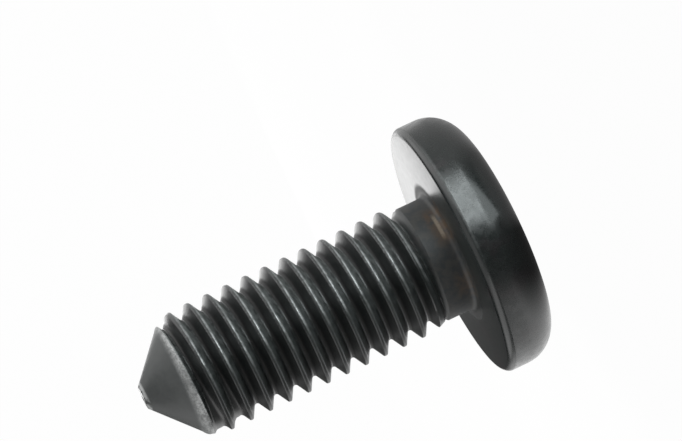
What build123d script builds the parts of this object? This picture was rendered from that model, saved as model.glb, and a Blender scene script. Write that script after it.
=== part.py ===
# Hex socket bolt: M8 x 1.25 right-hand coarse thread, nominal length 20, low round head, cone point.
# One piece of steel: cold headed together with its hex socket, then thread rolled and blackened.
# Millimetres. The bolt stands on its head: z = 0 is the outer face of the head, where the socket
# opens, and +Z runs along the shank to the point.
import os
from math import ceil, radians, tan

from build123d import *

# Head
head_diameter = 15.8
head_height = 3.8
outer_edge_radius = 2.1
bearing_edge_chamfer = 0.42

# Thread, rolled into the shank
pitch = 1.25
major_diameter = 7.84
thread_depth = 0.61 * pitch
crest_flat = 0.13 * pitch
flank_angle = 30.0            # each flank, from a plane square to the axis
helix_offset = 0.41           # from the bearing face to where the helix first crosses +X

# Neck, the plain stretch of the blank between head and thread
neck_length = 1.80
neck_drop = 0.24              # how far the neck lies below the crests
neck_flare = 0.30             # height and width of the cone that carries the neck into the head
crest_rise = 1.10             # over this length the crests rise out of the neck
root_fall = 0.70              # over this length the groove drops to its full depth

# Point, a cone that cuts off the thread
under_head_length = 19.7
point_half_angle = 48.0
point_flat_diameter = 1.4

# Hex socket in the outer face of the head
socket_across_flats = 5.0
socket_depth = 3.0
socket_chamfer = 0.17         # of the countersunk mouth, at the six corners
socket_drill_gap = 0.1        # between the drilled hollow under the socket and the six flats
socket_drill_half_angle = 59.0

major_radius = major_diameter / 2
minor_radius = major_radius - thread_depth
neck_radius = major_radius - neck_drop
flat_radius = point_flat_diameter / 2
point_slope = tan(radians(point_half_angle))
neck_top = head_height + neck_length
tip = head_height + under_head_length
thread_end = tip - (minor_radius - flat_radius) / point_slope    # where the cone reaches the root

# The thread's ridge is one tooth led up the shank on a helix. The tooth stands a little taller than
# the thread and reaches below its root. The envelope then trims the crests, and the shank fills the
# root, so crests and root are true cylinders.
tooth_over = 0.06
tooth_under = 0.05
tooth_half_top = crest_flat / 2 - tooth_over * tan(radians(flank_angle))
tooth_half_foot = crest_flat / 2 + (thread_depth + tooth_under) * tan(radians(flank_angle))
helix_start = head_height + helix_offset
turns = ceil((thread_end + tooth_half_foot - helix_start) / pitch)
point_margin = 0.4            # how far the point's cutter reaches past the tip and the crests
buried = 0.15                 # how far the envelope starts under the surface of the neck

with BuildPart() as ridge:
    with BuildLine() as helix:
        for turn in range(turns):
            turn_start = (0, 0, helix_start + turn * pitch)
            one_turn = Helix(pitch, pitch, major_radius, center=turn_start, mode=Mode.PRIVATE)
            for third in range(3):    # swept faces of a third of a turn each stay easy to trim
                add(one_turn.trim(third / 3, (third + 1) / 3))
    with BuildSketch(Plane.XZ):
        with BuildLine():
            Polyline(
                (minor_radius - tooth_under, helix_start - tooth_half_foot),
                (major_radius + tooth_over, helix_start - tooth_half_top),
                (major_radius + tooth_over, helix_start + tooth_half_top),
                (minor_radius - tooth_under, helix_start + tooth_half_foot),
                close=True,
            )
        make_face()
    sweep(path=helix.wires()[0], is_frenet=True)

    # Envelope of the crests: it starts below the surface of the neck, so the ridge rises out of it
    with BuildSketch(Plane.XZ):
        with BuildLine():
            Polyline(
                (0, neck_top - buried),
                (neck_radius - buried, neck_top - buried),
                (major_radius, neck_top + crest_rise),
                (major_radius, tip),
                (0, tip),
                close=True,
            )
        make_face()
    revolve(axis=Axis.Z, mode=Mode.INTERSECT)

with BuildPart() as bolt:
    # Head: an upset disc, with a broken edge to the bearing face and a generous round outside
    with BuildSketch():
        Circle(head_diameter / 2)
    extrude(amount=head_height)
    outer_edge, bearing_edge = bolt.edges().filter_by(GeomType.CIRCLE).sort_by(Axis.Z)
    chamfer(bearing_edge, bearing_edge_chamfer)
    fillet(outer_edge, outer_edge_radius)

    # Shank: neck and thread root
    with BuildSketch(Plane.XZ):
        with BuildLine():
            Polyline(
                (0, head_height / 2),
                (neck_radius + neck_flare, head_height / 2),
                (neck_radius + neck_flare, head_height),
                (neck_radius, head_height + neck_flare),
                (neck_radius, neck_top),
                (minor_radius, neck_top + root_fall),
                (minor_radius, tip),
                (0, tip),
                close=True,
            )
        make_face()
    revolve(axis=Axis.Z)
    add(ridge.part)

    # Point: everything outside the cone is cut away, root and crests alike
    cut_radius = major_radius + point_margin
    with BuildSketch(Plane.XZ):
        with BuildLine():
            Polyline(
                (flat_radius - point_margin * point_slope, tip + point_margin),
                (cut_radius, tip - (cut_radius - flat_radius) / point_slope),
                (cut_radius, tip + point_margin),
                close=True,
            )
        make_face()
    revolve(axis=Axis.Z, mode=Mode.SUBTRACT)

    # Hex socket: six walls, the drilled hollow below them and the countersunk mouth
    with BuildSketch():
        socket = RegularPolygon(socket_across_flats / 2, 6, major_radius=False)
    extrude(amount=socket_depth, mode=Mode.SUBTRACT)
    standing = (Align.CENTER, Align.CENTER, Align.MIN)
    drill_radius = socket_across_flats / 2 - socket_drill_gap
    drill_point = drill_radius / tan(radians(socket_drill_half_angle))
    with Locations((0, 0, socket_depth)):
        Cone(drill_radius, 0, drill_point, align=standing, mode=Mode.SUBTRACT)
    mouth_radius = socket.bounding_box().size.X / 2 + socket_chamfer
    Cone(mouth_radius, 0, mouth_radius, align=standing, mode=Mode.SUBTRACT)

bolt.part.label = "bolt"
os.makedirs("parts", exist_ok=True)
export_step(bolt.part, "parts/bolt.step")
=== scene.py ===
# %% [markdown]
# # A blackened hex socket bolt
# The bolt is one piece of steel: a low round head, a plain neck, a rolled thread and a cone point.
# It was headed cold, the thread was rolled into it, and it was then blackened in hot salts. The
# black layer is very thin, so it wears off first wherever something rubs. Here the pale lines on the
# crests of the thread are that wear with painted highlights over it, and the ridge round the point
# and a stretch of the head's edge carry painted highlights.
# The CAD model is the fixed frame and gives the place and the outer size. It could be painted as it
# is, but it has chamfers where the real bolt has small rounds, so the bolt is modelled anew here.

from contextlib import contextmanager
from math import cos, hypot, pi, radians, sin, tan

import bmesh
import bpy
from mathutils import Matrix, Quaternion, Vector


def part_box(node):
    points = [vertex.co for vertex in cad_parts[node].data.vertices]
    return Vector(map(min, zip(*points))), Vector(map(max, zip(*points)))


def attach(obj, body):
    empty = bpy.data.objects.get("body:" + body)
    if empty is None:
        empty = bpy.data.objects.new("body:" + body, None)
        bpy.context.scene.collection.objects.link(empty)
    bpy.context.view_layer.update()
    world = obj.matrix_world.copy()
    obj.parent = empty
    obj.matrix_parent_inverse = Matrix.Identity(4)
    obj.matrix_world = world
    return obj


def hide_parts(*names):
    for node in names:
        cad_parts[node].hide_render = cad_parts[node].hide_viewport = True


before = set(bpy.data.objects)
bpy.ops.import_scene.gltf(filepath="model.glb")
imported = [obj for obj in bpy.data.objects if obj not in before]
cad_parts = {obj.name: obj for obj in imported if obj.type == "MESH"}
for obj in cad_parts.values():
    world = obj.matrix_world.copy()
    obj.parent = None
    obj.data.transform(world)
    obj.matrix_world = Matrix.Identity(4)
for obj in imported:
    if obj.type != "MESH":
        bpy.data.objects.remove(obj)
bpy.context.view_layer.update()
low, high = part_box("bolt")
print("CAD box in mm:", [round(1000 * v, 3) for v in (*low, *high)])

# %% [markdown]
# ## Sizes
# They repeat the sizes of the CAD solid, in metres, because the piece made here stands in for that
# solid and keeps its form. A few of them lie closer to the real bolt than the solid's do: the face
# under the head is 0.25 mm lower, the neck is a little slimmer, the head's edge and the root of the
# neck are rounded where the solid is chamfered, and the thread starts and ends more gently.

# %% Sizes of the bolt
MM = 0.001
ROUND = 128                                # sides of every circle round the axis
head_radius = high.x
head_height = 3.8 * MM                     # as the CAD solid has it
head_drop = 0.25 * MM
bearing_plane = head_height - head_drop    # the face under the head
outer_edge_round = 2.1 * MM
bearing_edge = 0.40 * MM                   # the round of the bearing face's rim

pitch = 1.25 * MM
crest_radius = 3.92 * MM
thread_depth = 0.61 * pitch
root_radius = crest_radius - thread_depth
crest_flat = 0.13 * pitch
flank_angle = radians(30)
first_crest = head_height + 0.41 * MM      # where the crest of the thread's first turn crosses +X

neck_radius = crest_radius - 0.30 * MM
neck_round = 0.30 * MM                     # the fillet between neck and bearing face
neck_top = head_height + 1.45 * MM         # the thread begins here
crest_rise = 1.05 * MM                     # the first crest rises out of the neck over this length
root_fall = 0.55 * MM                      # and its groove sinks to full depth over this one
crest_fall = 1.15 * MM                     # the last crest sinks over this length

tip = high.z
flat_radius = 0.7 * MM
point_slope = tan(radians(48))
thread_end = tip - (root_radius - flat_radius) / point_slope    # where the cone reaches the root
crest_end = thread_end - 0.2 * MM          # where the last crest meets the cone
lip_height = 0.08 * MM                     # metal pushed up round the foot of the cone
buried = 0.15 * MM                         # the thread starts this far inside the neck

socket_flats = 5.0 * MM
socket_depth = 3.0 * MM
socket_chamfer = 0.17 * MM
drill_radius = socket_flats / 2 - 0.1 * MM
drill_half_angle = radians(59)
print("The thread runs from", round(neck_top / MM, 2), "to", round(thread_end / MM, 2), "mm")

# %% [markdown]
# ## The camera
# The bolt stands on its head, and the camera lies on its side: it looks along the floor from a
# little above it, and it is rolled until the bolt points down to the lower left. A wide lens close
# by would make the near turns of the thread swell. A long lens, nine bolt lengths away, keeps them
# nearly the same size from end to end.

# %% Camera
view_tilt = radians(7.9)                   # how far above the floor's plane the camera looks from
view_roll = radians(-115.3)
view_distance = 211.35 * MM
view_target = Vector((-0.41, -4.41, 8.57)) * MM
toward_camera = Vector((-cos(view_tilt), 0, sin(view_tilt)))
camera_data = bpy.data.cameras.new("camera")
camera_data.sensor_width = 36
camera_data.lens = 190
camera_data.clip_start = 0.01
camera_data.clip_end = 100
camera = bpy.data.objects.new("camera", camera_data)
bpy.context.scene.collection.objects.link(camera)
camera.location = view_target + toward_camera * view_distance
camera.rotation_mode = "QUATERNION"
camera.rotation_quaternion = toward_camera.to_track_quat("Z", "Y") @ Quaternion((0, 0, 1), view_roll)
bpy.context.scene.camera = camera
bpy.context.scene.view_settings.view_transform = "Standard"
print("Camera at", [round(v / MM, 1) for v in camera.location], "mm")

# %% [markdown]
# ## Helpers for modelling by hand
# Every operator works on what is selected. So each step first selects one object and nothing else,
# and then picks its vertices, edges or faces by where they are.

# %% Helpers for modelling
def only(obj):
    for other in list(bpy.context.selected_objects):
        other.select_set(False)
    bpy.context.view_layer.objects.active = obj
    obj.select_set(True)
    return obj


@contextmanager
def editing(obj):
    only(obj)
    bpy.ops.object.mode_set(mode="EDIT")
    yield
    bpy.ops.object.mode_set(mode="OBJECT")


def pick(obj, kind, wanted):
    bpy.ops.mesh.select_mode(type=kind)
    bpy.ops.mesh.select_all(action="DESELECT")
    mesh = bmesh.from_edit_mesh(obj.data)
    parts = {"VERT": mesh.verts, "EDGE": mesh.edges, "FACE": mesh.faces}[kind]
    chosen = [part for part in parts if wanted(part)]
    for part in chosen:
        part.select_set(True)
    bmesh.update_edit_mesh(obj.data)
    return len(chosen)


def new_piece(name, add, **settings):
    for other in list(bpy.context.selected_objects):
        other.select_set(False)
    add(**settings)
    piece = bpy.context.object
    piece.name = piece.data.name = name
    bpy.ops.object.transform_apply(location=True, rotation=True, scale=True)
    return piece


def apply_modifier(obj, kind, **settings):
    only(obj)
    modifier = obj.modifiers.new(kind.lower(), kind)
    for key, value in settings.items():
        setattr(modifier, key, value)
    bpy.ops.object.modifier_apply(modifier=modifier.name)


def at_height(height):
    return lambda part: all(abs(v.co.z - height) < 1e-6 for v in part.verts)


print("Helpers: only, editing, pick, new_piece, apply_modifier, at_height")

# %% [markdown]
# ## The head
# A cold header upsets the end of the wire into a disc with a generous outer edge and a small round
# towards the bearing face. It could be spun from a drawn profile. A cylinder is the start here,
# because each edge then gets a bevel of its own size. An inset and an extrusion of the bearing face
# draw out the neck, and a third bevel fills its root.

# %% Head and neck
head = new_piece("head", bpy.ops.mesh.primitive_cylinder_add, vertices=ROUND, radius=head_radius,
                 depth=bearing_plane, location=(0, 0, bearing_plane / 2))
bridge_gap = 0.25 * MM
neck_open = neck_top - bridge_gap          # the neck stops here, and the thread is bridged on to it
ring_gap = 0.05 * MM
with editing(head):
    pick(head, "EDGE", at_height(0))
    bpy.ops.mesh.bevel(offset=outer_edge_round, segments=18, profile=0.5)
    pick(head, "EDGE", at_height(bearing_plane))
    bpy.ops.mesh.bevel(offset=bearing_edge, segments=8, profile=0.42)
    pick(head, "FACE", lambda f: f.normal.z > 0.999 and len(f.verts) == ROUND)
    bpy.ops.mesh.inset(thickness=head_radius - bearing_edge - neck_radius)
    bpy.ops.mesh.extrude_region_move(TRANSFORM_OT_translate={"value": (0, 0, neck_open - bearing_plane)})
    pick(head, "EDGE", lambda e: at_height(bearing_plane)(e)
         and all(hypot(v.co.x, v.co.y) < neck_radius * 1.01 for v in e.verts))
    bpy.ops.mesh.bevel(offset=neck_round, segments=6, profile=0.5)
    for height in (outer_edge_round + ring_gap, bearing_plane - bearing_edge - ring_gap):
        bpy.ops.mesh.select_all(action="SELECT")     # two fine rings keep the wall between them straight
        bpy.ops.mesh.bisect(plane_co=(0, 0, height), plane_no=(0, 0, 1), threshold=1e-8)
print("Head and neck:", len(head.data.polygons), "faces")

# %% [markdown]
# ## The hex socket
# The socket is punched: six flats, a hollow cone at their end and a countersunk mouth. It could be
# inset and extruded into the head, but round mouth and hollow would then have to be fitted to the
# six flats by hand. Three plain cutters and a Boolean for each find those edges exactly.

# %% Hex socket
socket_corner = socket_flats / 2 / cos(pi / 6)
mouth_radius = socket_corner + socket_chamfer
prism = new_piece("prism", bpy.ops.mesh.primitive_cylinder_add, vertices=6, radius=socket_corner,
                  depth=2 * socket_depth, location=(0, 0, 0), rotation=(0, 0, pi / 6))
drill_sink = 0.04 * MM                     # the hollow's cone starts this far inside the prism
drill_foot = drill_radius + drill_sink * tan(drill_half_angle)
drill_height = drill_foot / tan(drill_half_angle)
drill = new_piece("drill", bpy.ops.mesh.primitive_cone_add, vertices=64, radius1=drill_foot,
                  radius2=0, depth=drill_height,
                  location=(0, 0, socket_depth - drill_sink + drill_height / 2))
mouth = new_piece("mouth", bpy.ops.mesh.primitive_cone_add, vertices=64, radius1=2 * mouth_radius,
                  radius2=0, depth=2 * mouth_radius, location=(0, 0, 0))
for cutter in (prism, drill, mouth):
    apply_modifier(head, "BOOLEAN", operation="DIFFERENCE", object=cutter, solver="EXACT")
    bpy.data.objects.remove(cutter)
with editing(head):
    pick(head, "FACE", at_height(neck_open))
    bpy.ops.mesh.delete(type="FACE")
    open_ring = pick(head, "EDGE", lambda e: not e.is_manifold)
print("Head with its socket:", len(head.data.polygons), "faces; open edges, at the neck:", open_ring)

# %% [markdown]
# ## The thread
# Two dies roll the thread into the shank and press one long tooth up round it. It could be swept
# along a helix curve, but a sweep tilts its section with the curve. Here one tooth is drawn as a
# line, vertex by vertex, from root to root, and its corners are rounded, because rolling leaves no
# sharp ones. The Screw modifier carries it up the axis, one pitch for each turn, and neighbouring
# turns are merged along the root.

# %% One tooth, carried round and up
start = first_crest - 1.5 * pitch          # so the line's own crest is one turn below the first
crest_round = 0.06 * MM
root_round = 0.10 * MM
corner_reach = 0.01 * MM
half_root = pitch / 2
half_foot = crest_flat / 2 + thread_depth * tan(flank_angle)
tooth = new_piece("thread", bpy.ops.mesh.primitive_plane_add, size=0.1 * MM)
line = [(root_radius, 0), (root_radius, half_root - half_foot),
        (crest_radius, half_root - crest_flat / 2), (crest_radius, half_root + crest_flat / 2),
        (root_radius, half_root + half_foot), (root_radius, pitch)]
with editing(tooth):
    bpy.ops.mesh.select_mode(type="VERT")
    bpy.ops.mesh.select_all(action="SELECT")
    bpy.ops.mesh.merge(type="CENTER")
    bpy.ops.transform.translate(value=(line[0][0], 0, start))
    for (r0, z0), (r1, z1) in zip(line, line[1:]):
        bpy.ops.mesh.extrude_region_move(TRANSFORM_OT_translate={"value": (r1 - r0, 0, z1 - z0)})
    pick(tooth, "VERT", lambda v: len(v.link_edges) == 2 and v.co.x > crest_radius - corner_reach)
    bpy.ops.mesh.bevel(offset=crest_round, affect="VERTICES", segments=4, clamp_overlap=True)
    pick(tooth, "VERT", lambda v: len(v.link_edges) == 2 and v.co.x < root_radius + corner_reach)
    bpy.ops.mesh.bevel(offset=root_round, affect="VERTICES", segments=4, clamp_overlap=True)
    pick(tooth, "EDGE", lambda e: e.calc_length() > 0.3 * MM)
    bpy.ops.mesh.subdivide(number_cuts=7)
print("Tooth line:", len(tooth.data.vertices), "vertices")

turns = int((thread_end - start) / pitch) + 2
apply_modifier(tooth, "SCREW", axis="Z", angle=2 * pi, screw_offset=pitch, iterations=turns,
               steps=ROUND, render_steps=ROUND, use_merge_vertices=False, use_normal_calculate=False)
print("Thread sheet:", len(tooth.data.polygons), "faces; z from",
      round(min(v.co.z for v in tooth.data.vertices) / MM, 3), "to",
      round(max(v.co.z for v in tooth.data.vertices) / MM, 3))

# %% [markdown]
# ## Run-out, run-in and point
# Rolling dies come to an end gradually, so the first crest rises out of the neck and the last one
# sinks towards the cone. Cutting the thread with Booleans would leave sharp, ragged ends. Instead
# every vertex is drawn in or out along its radius until it lies inside a limit that changes with the
# height. Where two limits meet, the corner is softened.

# %% Limits for the thread
def soft_min(a, b, width):
    """The smaller of the two, rounded off where they differ by less than the width."""
    overlap = max(width - abs(a - b), 0) / width
    return min(a, b) - overlap * overlap * width / 4


def ramp(x, x0, y0, x1, y1):
    """y0 up to x0, y1 from x1 on, and a straight line between them."""
    t = min(max((x - x0) / (x1 - x0), 0), 1)
    return y0 + (y1 - y0) * t


def cone_radius(z):
    return flat_radius + (tip - z) * point_slope


def crest_limit(z):
    rising = ramp(z, neck_top, neck_radius - buried, neck_top + crest_rise, crest_radius)
    falling = ramp(z, crest_end - crest_fall, crest_radius, crest_end, cone_radius(crest_end) + lip_height)
    return min(rising, falling)


def root_limit(z):
    return ramp(z, neck_top, neck_radius, neck_top + root_fall, root_radius)


def bruise(v):
    """How far the last grooves are filled on the side of +Y, where the blank was pinched."""
    pinched_side = ramp(v.co.y / hypot(v.co.x, v.co.y), 0.1, 0, 0.9, 1)
    last_grooves = ramp(v.co.z, tip - 5.3 * MM, 0, tip - 4.6 * MM, 0.24 * MM)
    very_last = ramp(v.co.z, tip - 4.2 * MM, 0, tip - 3.4 * MM, 0.13 * MM)
    return pinched_side * (last_grooves + very_last)


for z in (neck_top, neck_top + crest_rise, crest_end - crest_fall, crest_end):
    print("Crest limit at", round(z / MM, 2), "mm:", round(crest_limit(z) / MM, 3), "mm")

# %% [markdown]
# The sheet from the Screw is longer than the thread, and two cuts square to the axis give it round
# ends. Then each vertex is held by four limits in turn: under the crests' own, over the groove's
# foot on the neck, over the bruise in the last grooves, and under the cone. A little lip stays where
# the cone was cut through a crest.

# %% Trim the thread and let its ends fade
limit_soft = 0.05 * MM
bruise_soft = 0.30 * MM
cone_soft = 0.16 * MM
sheet_end = thread_end + 0.08 * MM
with editing(tooth):
    bpy.ops.mesh.select_all(action="SELECT")
    bpy.ops.mesh.remove_doubles(threshold=1e-6)
    for height, side in ((neck_top, "clear_inner"), (sheet_end, "clear_outer")):
        bpy.ops.mesh.select_all(action="SELECT")
        bpy.ops.mesh.bisect(plane_co=(0, 0, height), plane_no=(0, 0, 1), threshold=1e-8, **{side: True})
for v in tooth.data.vertices:
    radius = hypot(v.co.x, v.co.y)
    up_tooth = (radius - root_radius) / thread_depth
    lip = lip_height * up_tooth * ramp(v.co.z, thread_end - 0.25 * MM, 1, thread_end, 0)
    shaped = soft_min(radius, crest_limit(v.co.z), limit_soft)
    if v.co.z < neck_top + root_fall:
        shaped = -soft_min(-shaped, -root_limit(v.co.z), limit_soft)
    filled = bruise(v)
    shaped = -soft_min(-shaped, -root_radius - filled, bruise_soft * min(1, filled / (0.1 * MM)) + 1e-7)
    shaped = soft_min(shaped, cone_radius(v.co.z) + lip, cone_soft)
    v.co.x *= shaped / radius
    v.co.y *= shaped / radius
print("Thread trimmed to z from", round(min(v.co.z for v in tooth.data.vertices) / MM, 3), "to",
      round(max(v.co.z for v in tooth.data.vertices) / MM, 3))

# %% [markdown]
# The cone is drawn out of the thread's upper ring, so that its skin grows from the thread without a
# seam. Three rings close together round off the edge of the flat, which is never quite sharp.

# %% Cone point
with editing(tooth):
    neck_edges = pick(tooth, "EDGE", lambda e: e.is_boundary and at_height(neck_top)(e))
    point_edges = pick(tooth, "EDGE", lambda e: e.is_boundary and at_height(sheet_end)(e))
    rings = [(flat_radius + 0.06 * MM, tip - 0.055 * MM), (flat_radius + 0.02 * MM, tip - 0.015 * MM),
             (flat_radius - 0.04 * MM, tip)]
    r0, z0 = cone_radius(sheet_end), sheet_end
    for r1, z1 in rings:
        bpy.ops.mesh.extrude_region_move(TRANSFORM_OT_translate={"value": (0, 0, z1 - z0)})
        bpy.ops.transform.resize(value=(r1 / r0, r1 / r0, 1), center_override=(0, 0, z1))
        r0, z0 = r1, z1
    bpy.ops.mesh.edge_face_add()
print("Ring edges: neck", neck_edges, "point", point_edges)

# %% [markdown]
# ## One skin
# Head and thread could simply overlap, but the real bolt is one piece of steel. So both open rings
# are bridged, which leaves one closed skin that points outwards. Shading it smooth by angle keeps
# the edges of the socket crisp and the thread's flanks soft.

# %% Join the thread to the head
bolt = only(head)
bolt.name = bolt.data.name = "blackened_bolt"
tooth.select_set(True)
bpy.ops.object.join()
with editing(bolt):
    bridged = pick(bolt, "EDGE", lambda e: e.is_boundary)
    bpy.ops.mesh.bridge_edge_loops()
    bpy.ops.mesh.select_all(action="SELECT")
    bpy.ops.mesh.remove_doubles(threshold=1e-7)
    bpy.ops.mesh.normals_make_consistent(inside=False)
    open_edges = pick(bolt, "EDGE", lambda e: not e.is_manifold)
print("Bridged", bridged, "edges; open edges left:", open_edges)
only(bolt)
bpy.ops.object.shade_smooth_by_angle(angle=radians(35))
triangles = sum(len(p.vertices) - 2 for p in bolt.data.polygons)
print("Bolt:", triangles, "triangles")
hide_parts("bolt")
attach(bolt, "root")

# %% [markdown]
# ## Helpers for materials
# Every finish is worked out from the place on the bolt: its height, its distance from the axis and
# where it lies on the thread's turn. The nodes could be wired one by one, but the sums would get lost
# among them. These short helpers add a node or two each and return the output.

# %% Helpers for materials
def new_material(name):
    material = bpy.data.materials.new(name)
    material.use_nodes = True
    material.node_tree.nodes.clear()
    return material


def fill(socket, value):
    if isinstance(value, bpy.types.NodeSocket):
        tree.links.new(value, socket)
    elif hasattr(socket.default_value, "__len__"):
        socket.default_value = (*value, 1)[:len(socket.default_value)]
    else:
        socket.default_value = value


def node(kind, *inputs, **settings):
    made = tree.nodes.new("ShaderNode" + kind)
    for key, value in settings.items():
        if hasattr(made, key):
            setattr(made, key, value)
        else:
            fill(made.inputs[key.replace("_", " ")], value)
    for socket, value in zip(made.inputs, inputs):
        fill(socket, value)
    return made


def calc(operation, *inputs):
    return node("Math", *inputs, operation=operation).outputs[0]


def fade(value, start, end, low=0.0, high=1.0):
    """From low at start to high at end, with soft shoulders."""
    made = node("MapRange", interpolation_type="SMOOTHSTEP")
    for name, given in (("Value", value), ("From Min", start), ("From Max", end), ("To Min", low),
                        ("To Max", high)):
        fill(made.inputs[name], given)
    return made.outputs[0]


def band(value, centre, half, soft):
    """1 within half of the centre, fading to 0 over soft."""
    return fade(calc("ABSOLUTE", calc("SUBTRACT", value, centre)), half + soft, half)


def times(first, *others):
    for other in others:
        first = calc("MULTIPLY", first, other)
    return first


def most(first, *others):
    for other in others:
        first = calc("MAXIMUM", first, other)
    return first


def blend(factor, first, second):
    made = node("Mix", data_type="RGBA")
    for socket, value in ((made.inputs[0], factor), (made.inputs[6], first), (made.inputs[7], second)):
        fill(socket, value)
    return made.outputs[2]


def noise(place, scale, detail, rough):
    return node("TexNoise", place, Scale=scale, Detail=detail, Roughness=rough).outputs["Fac"]


print("Helpers: new_material, fill, node, calc, fade, band, times, most, blend, noise")

# %% [markdown]
# ## The black finish
# Hot blackening turns the skin of the steel into a dark oxide about a thousandth of a millimetre
# thick. It is not paint: the gloss of the steel below shows through it, and it has no edge where it
# wears. The finish could be painted on an unwrapped skin, but a thread unwraps badly. So each place
# on the bolt is measured: in millimetres from the tip, the bearing face, the crests, the head's edge
# and the cone, and in turns from the crest next to it. Four noises, from cloudy to fine, break up
# what would be too even. The angle around the axis is 0 degrees towards -X and grows towards -Y.

# %% Where a place lies on the bolt
steel = new_material("black_oxide_steel")
tree = steel.node_tree
place = node("VectorMath", node("TexCoord").outputs["Object"], operation="SCALE", Scale=1 / MM).outputs[0]
x, y, z = node("SeparateXYZ", place).outputs
off_axis = node("VectorMath", place, (1, 1, 0), operation="MULTIPLY").outputs[0]
radius = node("VectorMath", off_axis, operation="LENGTH").outputs["Value"]
around = calc("DEGREES", calc("ARCTAN2", calc("MULTIPLY", y, -1), calc("MULTIPLY", x, -1)))
side = calc("DIVIDE", calc("MULTIPLY", y, -1), radius)              # 1 at -Y, -1 at +Y
below_tip = calc("SUBTRACT", tip / MM, z)
above_face = calc("SUBTRACT", z, bearing_plane / MM)
beyond_crest = calc("SUBTRACT", radius, crest_radius / MM)
inside_edge = calc("SUBTRACT", head_radius / MM, radius)
beyond_cone = calc("SUBTRACT", radius, calc("MULTIPLY_ADD", below_tip, point_slope, flat_radius / MM))
turn = calc("DIVIDE", calc("ARCTAN2", y, x), 2 * pi)
rise = calc("DIVIDE", calc("SUBTRACT", z, first_crest / MM), pitch / MM)
phase = calc("WRAP", calc("SUBTRACT", rise, turn), 0.5, -0.5)       # 0 on the crest, 0.5 in the root

cloud = noise(place, 0.45, 3, 0.55)
mottle = noise(place, 2.2, 4, 0.6)
grain = noise(place, 9.0, 3, 0.6)
speck = noise(place, 22.0, 2, 0.5)
print("Measures and noises:", len(tree.nodes), "nodes")

# %% [markdown]
# A bolt's finish differs from region to region. The flank that faces the head is painted paler,
# most towards -Y, which is painted light. The flank that faces the point is painted near black,
# which is painted shade, and the root is duller and painted darker, which is painted shade too.
# The cone was cut after rolling, so its skin is paler and more matt.

# %% Regions of the bolt
on_shank = fade(beyond_crest, 0.48, 0.28)
on_thread = times(fade(z, neck_top / MM, (neck_top + crest_rise) / MM), on_shank)
# painted light: the flank that faces the head, strongest towards -Y
lit_head_flank = times(band(phase, -0.28, 0.15, 0.07), on_thread, fade(side, -0.7, 0.85, 0.12, 1))
# painted shade: the flank that faces the point is coloured near black
shaded_flank = times(band(phase, 0.26, 0.15, 0.07), on_thread)
# the root's higher roughness is real; its darker colour, set below, is painted shade in the grooves
in_root = times(fade(beyond_crest, -0.47, -0.70), fade(phase, 0.25, 0.35), fade(beyond_cone, -0.05, -0.2),
                on_thread)
on_cone = times(fade(beyond_cone, -0.16, -0.05), fade(below_tip, 3.2, 2.8))
on_neck = times(fade(beyond_crest, 0.68, 0.28), band(above_face, 0.85, 0.8, 0.3))
on_face = times(band(above_face, 0, 0.02, 0.05), fade(beyond_crest, -0.02, 0.28))
on_rim = times(fade(inside_edge, 0.9, 0.5), fade(above_face, -0.2, -0.4))
print("With the regions:", len(tree.nodes), "nodes")

# %% [markdown]
# ## Wear and painted highlights
# Whatever slides along a bolt touches its edges first. The rim of the tip has rubbed down to pale
# steel, and so have the corners and crests of the thread, where a painted highlight towards -Y is
# laid over the wear. The pale ring round the foot of the cone and the line on one stretch of the
# head's edge are painted highlights. A line could be drawn at one strength, but wear is patchy, so
# noises break each line up.

# %% Wear and painted highlights
# wear with a painted highlight over it: pale lines on the crests' corners and crests, held to the side
# towards -Y
edge_line = times(band(phase, -0.078, 0.030, 0.06), fade(beyond_crest, -0.26, -0.08),
                  fade(mottle, 0.38, 0.60, 0.35, 1), fade(side, -0.42, 0.17, 0.06, 1),
                  fade(side, 0.94, 0.67, 0.25, 1))
crest_line = times(band(phase, 0.0, 0.08, 0.05), fade(beyond_crest, -0.14, 0.0), fade(grain, 0.45, 0.70),
                   fade(side, -0.5, 0.5, 0.15, 1))
# painted highlight: a pale ring round the foot of the cone, broken up like wear
ridge = times(band(beyond_cone, -0.07, 0.07, 0.16), fade(beyond_crest, -0.87, -0.47),
              fade(below_tip, 3.8, 3.0), fade(grain, 0.35, 0.60, 0.50, 1),
              fade(mottle, 0.30, 0.60, 0.50, 1))
tip_rim = times(fade(radius, 0.45, 0.62), fade(below_tip, 0.25, 0.12), fade(mottle, 0.35, 0.55))
# painted highlight: a faint pale line on one stretch of the bearing face's rim
head_edge = times(band(above_face, -bearing_edge / MM, 0.03, 0.10), fade(inside_edge, 0.4, 0.2),
                  fade(mottle, 0.20, 0.50, 0.3, 1), band(around, 25, 15, 25))
# wear together with painted highlights on the crests, the cone's ridge and the head's edge; the tip's rim
# is wear
wear_and_highlights = most(times(edge_line, on_thread, 0.75), times(crest_line, on_thread, 0.225), times(ridge, 0.9),
            times(tip_rim, 0.9), times(head_edge, 0.08))
print("With the wear:", len(tree.nodes), "nodes")

# %% [markdown]
# ## Rust and old grease
# Nobody wipes the corner between neck and head. Light rust has started there in two patches, and
# old grease has dried in clouds up the neck. A short pale streak on the neck's fillet, tinted like
# rust, is a painted highlight.

# %% Rust, painted highlight and grease
rust_sides = most(band(around, 30, 12, 14), times(band(around, -35, 8, 12), 0.5))
rust_here = times(band(above_face, 0.35, 0.25, 0.5), fade(beyond_crest, 0.68, 0.08), rust_sides,
                  fade(mottle, 0.30, 0.60))
# painted highlight: a pale, rust-tinted streak on the fillet between neck and head
fillet_highlight = times(band(above_face, 0.38, 0.04, 0.13), band(around, 28, 7, 10),
                    fade(beyond_crest, 0.28, -0.02), fade(grain, 0.2, 0.5))
old_grease = times(fade(cloud, 0.50, 0.66), fade(above_face, 5.45, 1.45), 0.6)
print("With rust and grease:", len(tree.nodes), "nodes")
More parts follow.
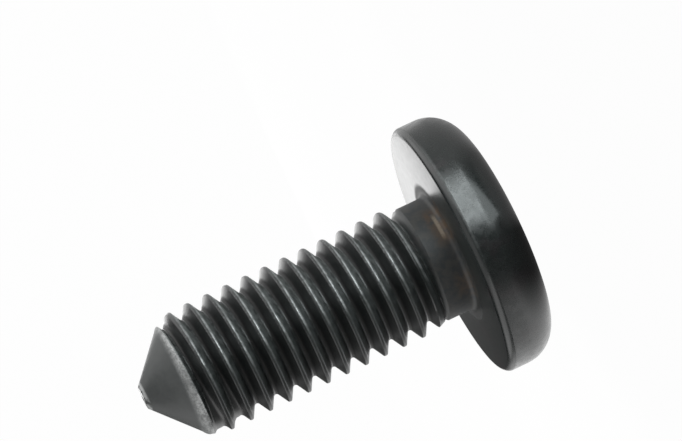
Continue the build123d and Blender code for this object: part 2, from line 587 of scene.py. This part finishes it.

# %% [markdown]
# ## Colour and gloss
# The colours are laid over one another: the black of the bath, old grease, painted light on the
# flank that faces the head, painted shade on the flank that faces the point and in the roots, the
# skins of cone and neck, rust, then the pale wear with its painted highlights, and last the painted
# highlight on the neck's fillet. The roughness starts from the head's satin gloss and is raised
# where the skin is duller. A very fine grain in the bump keeps the highlights on the thread from
# looking like glass.

# %% Colour
# painted shade for the flank that faces the point
painted_flank_shade = blend(mottle, (0.004, 0.005, 0.005), (0.011, 0.013, 0.0125))
# painted light: a paler, patchy colour on the flank that faces the head, most towards -Y
painted_flank_light = times(lit_head_flank, fade(mottle, 0.35, 0.60, 0.35, 1), fade(grain, 0.30, 0.60, 0.5, 1))
cone_skin = blend(calc("ADD", mottle, fade(below_tip, 0.5, 2.2, -0.35, 0.15)),
                  (0.050, 0.056, 0.055), (0.105, 0.113, 0.111))
neck_skin = blend(fade(mottle, 0.35, 0.65), (0.020, 0.025, 0.028), (0.046, 0.046, 0.042))
colour = blend(mottle, (0.013, 0.016, 0.0155), (0.026, 0.031, 0.030))
for where, skin in ((old_grease, (0.027, 0.022, 0.024)), (painted_flank_light, (0.180, 0.190, 0.187)),
                    (shaded_flank, painted_flank_shade), (in_root, (0.010, 0.010, 0.010)), (on_cone, cone_skin),
                    (on_neck, neck_skin), (rust_here, (0.085, 0.050, 0.024)),
                    (wear_and_highlights, (0.65, 0.665, 0.66)), (fillet_highlight, (0.36, 0.30, 0.22))):
    colour = blend(where, colour, skin)
print("With the colours:", len(tree.nodes), "nodes")

# %% Gloss, grain and surface
roughness = calc("MULTIPLY_ADD", mottle, 0.10, 0.20)
polish = times(on_rim, fade(mottle, 0.35, 0.60, 0.04, -0.03))       # the head's wall is patchily polished
roughness = calc("SUBTRACT", roughness, polish)
for where, more in ((on_cone, 0.22), (wear_and_highlights, 0.06), (on_face, 0.05), (on_neck, 0.22),
                    (times(on_shank, fade(below_tip, 2.9, 3.3)), 0.09), (in_root, 0.25)):
    roughness = calc("ADD", roughness, times(where, more))
fine_grain = node("Bump", Strength=calc("MULTIPLY_ADD", on_thread, 0.45, 0.12), Distance=0.006 * MM,
                  Height=calc("ADD", grain, times(speck, 0.5)))

surface = node("BsdfPrincipled")
fill(surface.inputs["Base Color"], colour)
fill(surface.inputs["Roughness"], roughness)
fill(surface.inputs["Metallic"], times(wear_and_highlights, 0.5))
fill(surface.inputs["Normal"], fine_grain.outputs[0])
surface.inputs["Specular IOR Level"].default_value = 0.85
fill(node("OutputMaterial").inputs["Surface"], surface.outputs[0])
bolt.data.materials.clear()
bolt.data.materials.append(steel)
print("Black oxide:", len(tree.nodes), "nodes")

# %% [markdown]
# ## The floor
# The bolt stands on a white sheet. The sheet is plain white to the camera, which also keeps a trace
# of the bolt's shadow. In the bolt's gloss it glows white at one side and falls off to grey at the
# other, as a sheet does that is lit from one side. Real lamps could do that, but they would light
# the bolt as well. So the sheet carries painted light: its tone, which it shows in the gloss and
# throws back on the bolt as diffuse light, changes with the bearing, in degrees from -X towards -Y,
# and with the reach, which is the distance from the bolt's axis.

# %% Floor
sheet_width = 40                           # in metres, so that its edges lie out of sight
paper_white = 0.9
floor = new_piece("floor", bpy.ops.mesh.primitive_plane_add, size=sheet_width)
sheet = new_material("white_sheet")
tree = sheet.node_tree
on_sheet = node("TexCoord").outputs["Object"]
x, y, z = node("SeparateXYZ", on_sheet).outputs
reach = node("VectorMath", on_sheet, operation="LENGTH").outputs["Value"]
bearing = calc("DEGREES", calc("ARCTAN2", calc("MULTIPLY", y, -1), calc("MULTIPLY", x, -1)))
# painted light: the floor's tone, bright on some bearings and near the head, grey on others
plus_y_side = times(fade(bearing, -24, -62, 0.09, 1.3), fade(bearing, -140, -178, 1, 0.8))
minus_y_side = fade(bearing, 20, 60, 0, 0.55)
behind = fade(bearing, 85, 140, 0, 1.04)
far_off = most(fade(bearing, -10, 30, 0.10, 0.45), fade(bearing, 70, 110, 0, 0.8),
               fade(bearing, -105, -130, 0, 0.8))
at_the_head = times(fade(bearing, -8, 8), fade(reach, 9.5 * MM, 7.8 * MM), 0.35)
tone = most(plus_y_side, minus_y_side, behind)
tone = most(times(tone, fade(reach, 24 * MM, 34 * MM, 1, far_off)), at_the_head)
paper = times(tone, paper_white)
print("Floor's tone:", len(tree.nodes), "nodes")

# %% White to the camera, toned in the gloss
rays = node("LightPath")
grey = node("CombineColor", paper, paper, paper).outputs[0]
lit = node("BsdfDiffuse", grey)
shown = node("Emission", grey)
in_gloss = most(rays.outputs["Is Glossy Ray"], rays.outputs["Is Transmission Ray"])
dressed = node("MixShader", in_gloss, lit.outputs[0], shown.outputs[0]).outputs[0]
white = node("Emission", (1, 1, 1)).outputs[0]
seen = node("MixShader", times(rays.outputs["Is Camera Ray"], 0.98), dressed, white).outputs[0]
fill(node("OutputMaterial").inputs["Surface"], seen)
floor.data.materials.append(sheet)
print("Floor:", len(tree.nodes), "nodes")

# %% [markdown]
# ## The light
# A glossy black thing shows little of its own colour and mostly what stands round it. An even white
# room would make it flat and grey. So the room is pale to both sides of the bolt and behind it, and
# dark where the flanks that face the point look. The camera sees plain white instead.

# %% Room light
world = bpy.data.worlds.new("studio")
bpy.context.scene.world = world
world.use_nodes = True
tree = world.node_tree
tree.nodes.clear()
x, y, z = node("SeparateXYZ", node("TexCoord").outputs["Generated"]).outputs
bright_side = times(fade(y, 0.05, -0.35, 0.10, 0.9), fade(z, 0.30, 0.46, 1.0, 0.0))
high_sides = times(fade(calc("ABSOLUTE", y), 0.34, 0.56), fade(z, 0.22, 0.48), fade(x, 0.84, 0.72),
                   fade(y, -0.3, 0.3, 1.35, 1.1))
low_side = times(fade(y, 0.15, 0.50), fade(z, 0.34, 0.18), fade(x, 0.3, 0.7, 0.3, 0.9))
above = times(fade(z, 0.45, 0.9), fade(x, 0.25, 0.0), 0.48)
pale = most(bright_side, low_side, above, high_sides)
room = node("Background", node("CombineColor", pale, pale, pale).outputs[0], 1.0).outputs[0]
blank = node("Background", (1, 1, 1), 1.0).outputs[0]
to_camera = node("LightPath").outputs["Is Camera Ray"]
fill(node("OutputWorld").inputs["Surface"], node("MixShader", to_camera, room, blank).outputs[0])
print("Room:", len(tree.nodes), "nodes")

# %% [markdown]
# ## The lamps
# Light panels lie on the floor and shine up. Three of them, end to end, give the pale patch on the
# rim and the fine lines along the crests, and a fourth, further out, reaches the neck. Two tall
# cards stand far behind the bolt: the bearing face mirrors the first at a very flat angle, and the
# outermost flanks of the thread mirror the second. Spot lamps could be placed more freely, but a
# gloss mirrors their shape, and only a panel gives a patch with an edge. Places and sizes are in
# millimetres.

# %% Lamps
panel_lift = 0.3                           # the panels lie just clear of the floor
daylight = (0.92, 1.0, 1.01)               # a little cool


def softbox(name, centre, facing, size, radiance, colour=(1, 1, 1)):
    """A rectangular lamp of a given brightness, where 1 is as bright as white paper in plain light."""
    data = bpy.data.lights.new(name, "AREA")
    data.shape = "RECTANGLE"
    data.size, data.size_y = (length * MM for length in size)
    data.energy = radiance * pi * data.size * data.size_y
    data.color = colour
    lamp = bpy.data.objects.new(name, data)
    bpy.context.scene.collection.objects.link(lamp)
    lamp.location = Vector(centre) * MM
    lamp.rotation_mode = "QUATERNION"
    lamp.rotation_quaternion = (-Vector(facing)).to_track_quat("Z", "Y")
    lamp.visible_camera = False
    return lamp


def lying(name, azimuth, near, far, width, radiance, aside=0):
    """A light panel that lies on the floor and shines up, from near to far along an azimuth."""
    angle = radians(azimuth)
    middle = (near + far) / 2
    centre = (sin(angle) * aside - cos(angle) * middle, -sin(angle) * middle - cos(angle) * aside,
              panel_lift)
    lamp = softbox(name, centre, (0, 0, 1), (far - near, width), radiance, daylight)
    lamp.rotation_quaternion = Quaternion((0, 0, 1), angle) @ Quaternion((1, 0, 0), pi)


lying("panel_foot", -6.7, 7.95, 12, 5.0, 1.6, aside=4.5)
lying("panel_near", 26, 12, 18, 9.2, 4.2)
lying("panel_far", 31, 18, 26.5, 15.5, 5.0)
lying("panel_end", 31, 28, 36, 19, 6)
softbox("card_behind", (80, -6, 26), (-1, 0, 0), (16, 50), 2.4)
softbox("card_beside", (80, -21, 28), (-1, 0, 0), (14, 46), 1.7)
print("Lamps:", len(bpy.data.lights))
